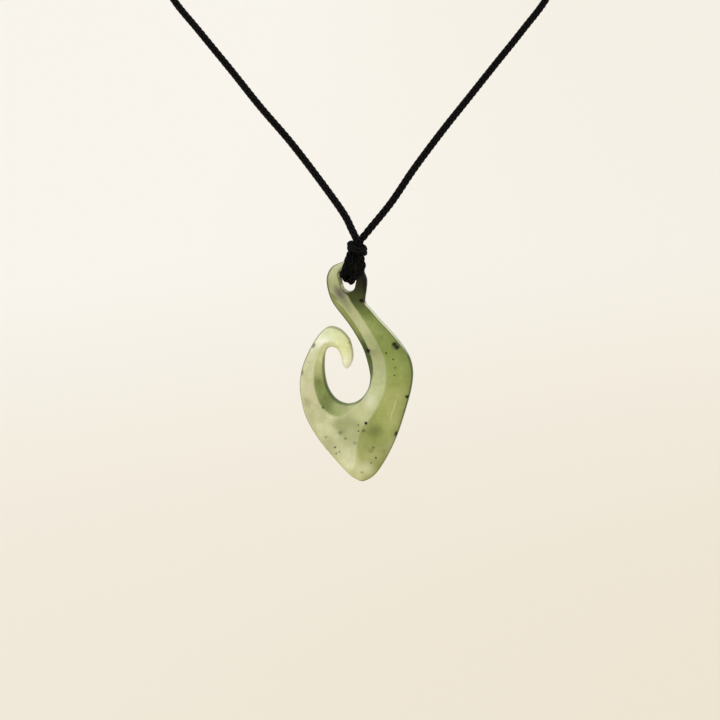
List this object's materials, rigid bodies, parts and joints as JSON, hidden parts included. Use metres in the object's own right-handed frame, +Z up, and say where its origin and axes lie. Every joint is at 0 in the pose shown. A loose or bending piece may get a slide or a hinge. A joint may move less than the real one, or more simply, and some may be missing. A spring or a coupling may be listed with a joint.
{
  "type": "hei matau pendant necklace",
  "caption": "Carved and polished greenstone fish hook with a curled barb, lashed through its eye to a black neck cord that closes at the nape.",
  "frame": {"origin": "neck side of the closing knot at the back of the neck loop, where the necklace hangs on the nape", "axes": "+Z up, +X to the right of someone who looks at the front, the pendant hangs below and in front of the origin at -Y and faces -Y"},
  "size_m": [0.1092, 0.1363, 0.165],
  "materials": {
    "greenstone": "polished, slightly translucent",
    "cord": "waxed and plaited"
  },
  "bodies": {
    "root": {"hook": "greenstone", "eye_wraps": "cord", "collar_knot": "cord", "cord_left": "cord", "cord_right": "cord", "nape_knot": "cord"}
  },
  "joints": []
}
